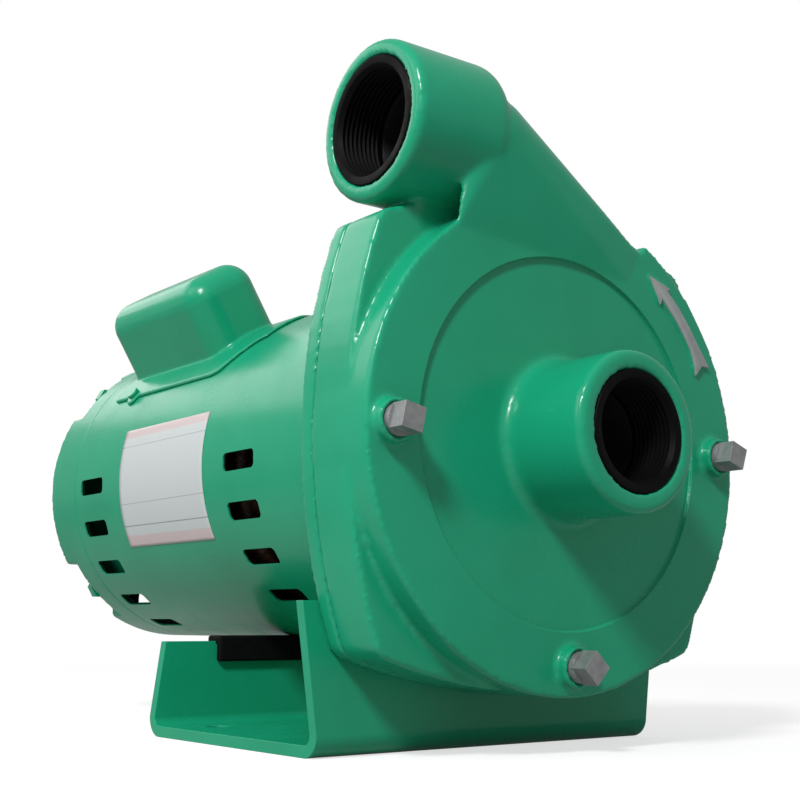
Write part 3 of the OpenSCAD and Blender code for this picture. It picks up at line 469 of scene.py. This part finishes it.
# near-black bare iron: darker than unpainted iron, a painted shade for the walled-in faces
bareIronShade = plain("bareIronShade", {"dark": (0.012, 0.012, 0.013, 1), "pale": (0.026, 0.026, 0.027, 1),
                              "roughLow": 0.5, "roughHigh": 0.7, "grain": 0.5, "specular": 0.2})
arrowGrey = plain("arrowGrey", {"dark": (0.3, 0.325, 0.325, 1), "pale": (0.388, 0.413, 0.413, 1),
                                "roughLow": 0.35, "roughHigh": 0.5, "grain": 0.2})


def shadedWindingCopper():
    # varnished strands laid round the shaft, their copper darkened to near black as painted shade inside the motor
    material, tree, shader, place = newMaterial("shadedWindingCopper")
    squeeze = tree.nodes.new("ShaderNodeMapping")
    squeeze.inputs["Scale"].default_value = (900, 140, 900)
    tree.links.new(place, squeeze.inputs["Vector"])
    strands = addNoise(tree, squeeze.outputs["Vector"], 1.0, 3)
    shades = addRamp(tree, strands, [(0.3, (0.012, 0.006, 0.004, 1)), (0.7, (0.055, 0.026, 0.014, 1))])
    tree.links.new(shades, shader.inputs["Base Color"])
    tree.links.new(addBump(tree, strands, 0.8, 0.0008), shader.inputs["Normal"])
    shader.inputs["Metallic"].default_value = 0.3
    shader.inputs["Roughness"].default_value = 0.4
    shader.inputs["Specular IOR Level"].default_value = 0.3
    return material


shadedCopperWire = shadedWindingCopper()
print("materials made")

# castings: casing, adapter and rear bell

panelLook = {
    "radius": 0.0761,
    "margin": 0.0004,
    "proud": 0.0027,
    "clear": 0.0001,
    "recess": 0.0016,
    "stepStart": 0.0002,
    "stepWidth": 0.0003,
    "bossRadius": 0.0315,
    "rootDepth": 0.0045,
    "denseWidth": 0.0016,
    "behind": 0.002,
    "facing": -0.8,
    "cuts": 3,
}
casingLook = {
    "voxel": 0.00115,
    "rounds": 9,
    "triangles": 140000,
    "keptRadius": panelLook["radius"],
    "keptWidth": 0.0026,
    "keptDepth": panelLook["behind"],
    "innerDepth": 0.0050,
    "innerRadius": 0.100,
}
adapterLook = {"voxel": 0.0012, "rounds": 3, "triangles": 70000}
rearBellLook = {"voxel": 0.0010, "rounds": 4, "triangles": 120000}


def flattenPanel(mesh, look):
    # the photograph's round panel is not proud of the face, so the copy's panel goes back to it
    front = voluteFaceY - look["proud"]
    for v in mesh.vertices:
        onPanel = look["bossRadius"] < fromShaft(v.co) < look["radius"] + look["margin"]
        if onPanel and front - look["rootDepth"] < v.co.y < voluteFaceY - look["clear"]:
            v.co.y += look["proud"]


def recessPanel(piece, look):
    # a fine step down into the panel, on faces made small enough to hold it
    shape = bmesh.new()
    shape.from_mesh(piece.data)
    shape.normal_update()

    def nearRim(v):
        byRim = abs(fromShaft(v.co) - look["radius"]) < look["denseWidth"]
        return byRim and v.normal.y < look["facing"] and v.co.y < voluteFaceY + look["behind"]
    rim = [e for e in shape.edges if nearRim(e.verts[0]) and nearRim(e.verts[1])]
    bmesh.ops.subdivide_edges(shape, edges=rim, cuts=look["cuts"], use_grid_fill=True)
    bmesh.ops.triangulate(shape, faces=[f for f in shape.faces if len(f.verts) > 3])
    outer = look["radius"] + look["stepStart"]
    for v in shape.verts:
        reach = fromShaft(v.co)
        depth = (v.co.y - (voluteFaceY - look["rootDepth"])) / look["rootDepth"]
        if look["bossRadius"] <= reach <= outer and depth > 0 and v.co.y <= voluteFaceY + look["behind"]:
            step = min(max((outer - reach) / look["stepWidth"], 0), 1)
            v.co.y += look["recess"] * step * min(depth, 1)
    shape.to_mesh(piece.data)
    shape.free()
    piece.data.shade_smooth()


# the nozzle's front flank runs down to a straight edge on the face, from the boss to the throat
flankLook = {
    "ballX": -0.036,
    "ballRadius": 0.0185,
    "forward": 0.0136,
    "lowered": 0.002,
    "corners": ((-0.0570, 0.2055), (0.0365, 0.1975), (0.0435, 0.2115)),
    "round": 0.0016,
    "proud": 0.0003,
    "back": 0.0004,
}


def addFlank(mesh, look):
    low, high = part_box("discharge_port_bush")
    middle = (low + high) / 2
    hull = bmesh.new()
    ball = Matrix.Translation((look["ballX"], middle.y - look["forward"], middle.z - look["lowered"]))
    bmesh.ops.create_icosphere(hull, subdivisions=5, radius=look["ballRadius"], matrix=ball)
    for x, z in look["corners"]:
        corner = Matrix.Translation((x, voluteFaceY + look["round"] - look["proud"], z))
        bmesh.ops.create_icosphere(hull, subdivisions=2, radius=look["round"], matrix=corner)
    made = bmesh.ops.convex_hull(hull, input=hull.verts[:])
    spare = [v for v in made["geom_interior"] if isinstance(v, bmesh.types.BMVert)]
    bmesh.ops.delete(hull, geom=spare, context="VERTS")
    bmesh.ops.bisect_plane(hull, geom=hull.verts[:] + hull.edges[:] + hull.faces[:], clear_outer=True,
                           plane_co=(0, voluteFaceY + look["back"], 0), plane_no=(0, 1, 0))
    bmesh.ops.holes_fill(hull, edges=[e for e in hull.edges if e.is_boundary], sides=0)
    bmesh.ops.recalc_face_normals(hull, faces=hull.faces[:])
    flank = bpy.data.meshes.new("flank")
    hull.to_mesh(flank)
    hull.free()
    shape = bmesh.new()
    shape.from_mesh(mesh)
    shape.from_mesh(flank)
    shape.to_mesh(mesh)
    shape.free()
    bpy.data.meshes.remove(flank)


casingPiece = addPiece("castCasing", mergedCopy("casing"), stands=["casing"])
flattenPanel(casingPiece.data, panelLook)
addFlank(casingPiece.data, flankLook)
softenCasting(casingPiece, casingLook)
recessPanel(casingPiece, panelLook)
paint(casingPiece, castEnamel)
adapterPiece = addPiece("castAdapter", mergedCopy("adapter"), stands=["adapter"])
softenCasting(adapterPiece, adapterLook)
paint(adapterPiece, castEnamel)
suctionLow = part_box("suction_port_bush")[0]
dischargeLow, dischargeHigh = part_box("discharge_port_bush")
dischargeMiddle = (dischargeLow + dischargeHigh) / 2
lidDepth = 0.001
portMouths = [((0, suctionLow.y + lidDepth, shaftHeight), (0, 1, 0), 0.0250),
              ((dischargeLow.x + lidDepth, dischargeMiddle.y, dischargeMiddle.z), (1, 0, 0), 0.0272)]


def behindFace(place):
    return place.y > voluteFaceY + casingLook["innerDepth"] and fromShaft(place) < casingLook["innerRadius"]


# the walled-in faces of the casing and the insides of the ports get painted shade
bareAndShadedInside(casingPiece, [adapterPiece], bareIronShade, 1, portMouths, behindFace)
rearBellPiece = addPiece("castRearBell", mergedCopy("rear_end_bell"),
                         stands=["rear_end_bell"])
softenCasting(rearBellPiece, rearBellLook)
paint(rearBellPiece, castEnamel)
# the walled-in faces inside the rear bell get painted shade
bareAndShadedInside(rearBellPiece, [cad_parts["motor_barrel"]], bareIronShade, 3)
print("castings made")

# pressed cover of the capacitor, with its brim on the barrel

coverLook = {"voxel": 0.00065, "rounds": 10, "triangles": 150000}
coverPiece = addPiece("pressedCover", mergedCopy("capacitor_cover"),
                      stands=["capacitor_cover"])
softenCasting(coverPiece, coverLook)
paint(coverPiece, sheetEnamel)

# threaded bushes of the two ports

bushLook = {
    "suctionThread": {"node": "suction_port_bush", "mouth": (0, -1, 0), "outer": 0.02415, "crest": 0.0193},
    "dischargeThread": {"node": "discharge_port_bush", "mouth": (-1, 0, 0), "outer": 0.02625, "crest": 0.0214},
}
threadLook = {
    "pitch": 0.0022,
    "depth": 0.0011,
    "chamfer": 0.0014,
    "edge": 0.0005,
    "steps": 128,
    # where one turn's crest ends and its root runs, in shares of the pitch
    "crestEnd": 0.2,
    "rootFrom": 0.55,
    "rootTo": 0.65,
    # the first turn starts this many chamfers in, and the last one has this many pitches left
    "firstTurn": 1.4,
    "lastTurn": 1.2,
}


def makeBush(name, look, thread):
    low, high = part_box(look["node"])
    mouth = Vector(look["mouth"])
    middle = (low + high) / 2
    length = abs((high - low).dot(mouth))
    outer, crest = look["outer"], look["crest"]
    pitch, chamfer, edge = thread["pitch"], thread["chamfer"], thread["edge"]
    root = crest + thread["depth"]
    profile = [(outer, 0), (outer, length - edge), (outer - edge, length), (crest + chamfer + edge, length),
               (crest + chamfer, length - edge * 0.4)]
    height = length - chamfer * thread["firstTurn"]
    while height > pitch * thread["lastTurn"]:
        profile += [(crest, height), (crest, height - pitch * thread["crestEnd"]),
                    (root, height - pitch * thread["rootFrom"]), (root, height - pitch * thread["rootTo"])]
        height -= pitch
    profile += [(crest, height), (crest, 0)]
    shape = spunRing(profile, thread["steps"])
    turn = Vector((0, 0, 1)).rotation_difference(mouth).to_matrix().to_4x4()
    bmesh.ops.transform(shape, matrix=Matrix.Translation(middle - mouth * length / 2) @ turn, verts=shape.verts)
    piece = addPiece(name, meshFrom(shape, name), stands=[look["node"]])
    smoothByAngle(piece.data, 25)
    paint(piece, portBlackShade)


for name, look in bushLook.items():
    makeBush(name, look, threadLook)

# pieces that keep their CAD shape and get soft edges

edgeLook = {
    "pipePlugs": {"node": "pipe_plugs", "slot": "plug_grey", "material": castZinc, "width": 0.0007, "segments": 3},
    "bentBase": {"node": "base", "slot": "green_enamel", "material": sheetEnamel, "width": 0.0009, "segments": 3},
    "cushion": {"node": "rubber_cushion", "slot": "rubber", "material": cushionRubber, "width": 0.0012, "segments": 3},
    "coverScrews": {"node": "cover_screws", "slot": "steel", "material": sheetEnamel, "width": 0.0004, "segments": 2},
}
for name, look in edgeLook.items():
    piece = addPiece(name, mergedCopy(look["node"]), stands=[look["node"]])
    bevelEdges(piece, look)
    paint(piece, look["material"])

# blank rating label, a thin sheet bent round the barrel

labelLook = {
    "fromY": 0.045,
    "toY": 0.131,
    "topAngle": 162.4,
    "bottomAngle": 205.8,
    "thickness": 0.00025,
    "gap": 0.00003,
    "columns": 30,
    "rows": 48,
}


def makeLabel(look):
    shape = bmesh.new()
    shape.loops.layers.uv.new("UVMap")
    bmesh.ops.create_grid(shape, x_segments=look["columns"], y_segments=look["rows"], size=0.5, calc_uvs=True)
    radius = barrelRadius + look["gap"]
    for v in shape.verts:
        angle = math.radians(look["topAngle"] + (look["bottomAngle"] - look["topAngle"]) * (0.5 - v.co.y))
        along = look["toY"] + (look["fromY"] - look["toY"]) * (v.co.x + 0.5)
        v.co = (radius * math.cos(angle), along, shaftHeight + radius * math.sin(angle))
    bmesh.ops.recalc_face_normals(shape, faces=shape.faces)
    middles = [(f, f.calc_center_median()) for f in shape.faces]
    if sum(f.normal.dot(Vector((m.x, 0, m.z - shaftHeight))) for f, m in middles) < 0:
        bmesh.ops.reverse_faces(shape, faces=shape.faces)
    piece = addPiece("ratingLabel", meshFrom(shape, "ratingLabel"))
    thick = piece.modifiers.new("thickness", "SOLIDIFY")
    thick.thickness = look["thickness"]
    thick.offset = 1
    piece.data.shade_smooth()
    return piece


def labelPaper():
    # pale printed foil: a pinkish band at each end, thin ruled lines, no lettering
    material, tree, shader, place = newMaterial("labelPaper")
    split = tree.nodes.new("ShaderNodeSeparateXYZ")
    sheet = tree.nodes.new("ShaderNodeUVMap")
    sheet.uv_map = "UVMap"
    tree.links.new(sheet.outputs["UV"], split.inputs["Vector"])
    paper, pink, rule = (0.56, 0.60, 0.60, 1), (0.60, 0.50, 0.50, 1), (0.24, 0.27, 0.27, 1)
    stops = [(0, pink), (0.095, paper), (0.175, rule), (0.182, paper), (0.36, rule), (0.366, paper),
             (0.84, rule), (0.847, paper), (0.925, pink)]
    tree.links.new(addRamp(tree, split.outputs["Y"], stops, "CONSTANT"), shader.inputs["Base Color"])
    cloud = addNoise(tree, place, 40, 3)
    tree.links.new(addRange(tree, cloud, 0.32, 0.42), shader.inputs["Roughness"])
    shader.inputs["Specular IOR Level"].default_value = 0.3
    return material


labelPiece = makeLabel(labelLook)
paint(labelPiece, labelPaper())

# grey direction arrow, painted on the raised arrow of the casing

arrowLook = {
    "points": [(92.4, 56.8), (97.2, 48.8), (95.1, 49.3), (95.1, 43), (95.1, 37), (95.2, 32), (96.1, 28), (97.2, 24.6),
               (92.8, 26), (87.4, 24.6), (88.7, 28), (89.7, 32), (89.7, 37), (89.7, 43), (89.7, 49.3), (87.2, 48.8)],
    "raised": 0.0017,
    "sunk": 0.0006,
    "round": 0.00045,
}


def makeArrow(look):
    shape = bmesh.new()
    corners = [shape.verts.new((r * millimetre * math.cos(math.radians(a)), voluteFaceY - look["raised"],
                                shaftHeight + r * millimetre * math.sin(math.radians(a)))) for r, a in look["points"]]
    face = shape.faces.new(corners)
    side = bmesh.ops.extrude_face_region(shape, geom=[face])
    moved = [v for v in side["geom"] if isinstance(v, bmesh.types.BMVert)]
    bmesh.ops.translate(shape, verts=moved, vec=(0, look["raised"] + look["sunk"], 0))
    bmesh.ops.recalc_face_normals(shape, faces=shape.faces)
    front = [e for e in shape.edges if all(abs(v.co.y - (voluteFaceY - look["raised"])) < samePlace for v in e.verts)]
    bmesh.ops.bevel(shape, geom=front, offset=look["round"], segments=3, profile=0.5, affect="EDGES", material=-1)
    piece = addPiece("rotationArrow", meshFrom(shape, "rotationArrow"))
    smoothByAngle(piece.data, 40)
    return piece


paint(makeArrow(arrowLook), arrowGrey)
print("bushes, plugs, base, label and arrow made")

# the rest of the nodes

for node, material in {
    "impeller": castBronze, "impeller_nut": platedSteel, "impeller_key": platedSteel, "seal_spring": platedSteel,
    "seal_head": blackPlastic, "seal_seat": sealCeramic, "seal_cup": cushionRubber, "casing_o_ring": cushionRubber,
    "upper_casing_bolts": platedSteel, "lower_casing_bolts": platedSteel,
    "front_end_bell": castEnamel, "motor_barrel": barrelEnamelShadedInside, "tie_bolts": boltPaintShadedShank,
    "stator_core": laminations, "front_winding": shadedCopperWire, "rear_winding": shadedCopperWire, "rotor_core": laminations,
    "rotor_cage": castAluminium, "shaft": turnedSteel, "slinger": cushionRubber, "wave_washer": turnedSteel,
    "front_bearing_outer": turnedSteel, "front_bearing_inner": turnedSteel, "front_bearing_balls": turnedSteel,
    "front_bearing_cage": castBronze, "rear_bearing_outer": turnedSteel, "rear_bearing_inner": turnedSteel,
    "rear_bearing_balls": turnedSteel, "rear_bearing_cage": castBronze, "cooling_fan": blackPlastic,
    "governor": platedSteel, "switch_spool": phenolicBoard, "start_switch": phenolicBoard,
    "terminal_board": phenolicBoard, "thermal_protector": blackPlastic, "shaft_end_cap": blackPlastic,
    "start_capacitor": blackPlastic,
}.items():
    paint(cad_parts[node], material)
print("nodes painted")

# floor, world and lamps

stageLook = {
    "floorSize": 60,
    "floorColour": (0.45, 0.45, 0.45, 1),
    "floorGlow": 0.66,
    "paleFrom": 0.45,
    "paleTo": 1.3,
    "farBounce": 0.24,
    "ambient": 0.33,
    "floorMirrored": 0.1,
    "skyMirrored": 0.22,
}


def onlySeen(tree, mirroredShare):
    # 1 for rays that see the background directly or through glass, and a share for mirrored ones
    path = tree.nodes.new("ShaderNodeLightPath")
    mirrored = tree.nodes.new("ShaderNodeMath")
    mirrored.operation = "MULTIPLY"
    mirrored.inputs[1].default_value = mirroredShare
    tree.links.new(path.outputs["Is Glossy Ray"], mirrored.inputs[0])
    first = tree.nodes.new("ShaderNodeMath")
    first.operation = "MAXIMUM"
    tree.links.new(path.outputs["Is Camera Ray"], first.inputs[0])
    tree.links.new(mirrored.outputs[0], first.inputs[1])
    second = tree.nodes.new("ShaderNodeMath")
    second.operation = "MAXIMUM"
    tree.links.new(first.outputs[0], second.inputs[0])
    tree.links.new(path.outputs["Is Transmission Ray"], second.inputs[1])
    return second.outputs[0]


def makeStage(look):
    shape = bmesh.new()
    bmesh.ops.create_grid(shape, x_segments=2, y_segments=2, size=look["floorSize"])
    floor = bpy.data.objects.new("floor", meshFrom(shape, "floor"))
    scene.collection.objects.link(floor)
    material = bpy.data.materials.new("floorPaper")
    material.use_nodes = True
    tree = material.node_tree
    tree.nodes.clear()
    seen = onlySeen(tree, look["floorMirrored"])
    paper = tree.nodes.new("ShaderNodeBsdfDiffuse")
    paper.inputs["Color"].default_value = look["floorColour"]
    glow = tree.nodes.new("ShaderNodeEmission")
    nearGlow = tree.nodes.new("ShaderNodeMath")
    nearGlow.operation = "MULTIPLY"
    nearGlow.inputs[1].default_value = look["floorGlow"]
    tree.links.new(seen, nearGlow.inputs[0])
    tree.links.new(nearGlow.outputs[0], glow.inputs["Strength"])
    near = tree.nodes.new("ShaderNodeAddShader")
    tree.links.new(paper.outputs[0], near.inputs[0])
    tree.links.new(glow.outputs[0], near.inputs[1])
    # away from the object the floor fades into the plain background
    far = tree.nodes.new("ShaderNodeEmission")
    tree.links.new(addRange(tree, seen, look["farBounce"], 1.0, 0, 1), far.inputs["Strength"])
    distance = tree.nodes.new("ShaderNodeVectorMath")
    distance.operation = "LENGTH"
    tree.links.new(tree.nodes.new("ShaderNodeTexCoord").outputs["Object"], distance.inputs[0])
    blend = tree.nodes.new("ShaderNodeMixShader")
    tree.links.new(addRange(tree, distance.outputs["Value"], 0, 1, look["paleFrom"], look["paleTo"]), blend.inputs[0])
    tree.links.new(near.outputs[0], blend.inputs[1])
    tree.links.new(far.outputs[0], blend.inputs[2])
    output = tree.nodes.new("ShaderNodeOutputMaterial")
    tree.links.new(blend.outputs[0], output.inputs["Surface"])
    floor.data.materials.append(material)
    world = bpy.data.worlds.new("paleRoom")
    scene.world = world
    world.use_nodes = True
    sky = world.node_tree
    background = sky.nodes["Background"]
    background.inputs["Color"].default_value = (1, 1, 1, 1)
    strength = sky.nodes.new("ShaderNodeMapRange")
    strength.inputs["To Min"].default_value = look["ambient"]
    strength.inputs["To Max"].default_value = 1.0
    sky.links.new(onlySeen(sky, look["skyMirrored"]), strength.inputs["Value"])
    sky.links.new(strength.outputs["Result"], background.inputs["Strength"])


lamps = {
    "keyLamp": {"place": (-1.12, -0.73, 1.17), "aim": (0, 0, 0.13), "size": (0.26, 0.26), "power": 21.5},
    "backSoftbox": {"place": (-0.38, 1.09, 0.92), "aim": (0, 0, 0.13), "size": (1.3, 0.6), "power": 3.8},
    "leftFill": {"place": (-1.28, 0.25, 0.95), "aim": (0, 0, 0.13), "size": (0.8, 0.8), "power": 4.0},
}


def makeLamps(table):
    for name, look in table.items():
        data = bpy.data.lights.new(name, "AREA")
        data.shape = "RECTANGLE"
        data.size, data.size_y = look["size"]
        data.energy = look["power"]
        lamp = bpy.data.objects.new(name, data)
        scene.collection.objects.link(lamp)
        lamp.visible_camera = False
        lamp.location = look["place"]
        lamp.rotation_euler = (Vector(look["aim"]) - Vector(look["place"])).to_track_quat("-Z", "Y").to_euler()


makeStage(stageLook)
makeLamps(lamps)
scene.view_settings.view_transform = "Standard"
print("stage made")
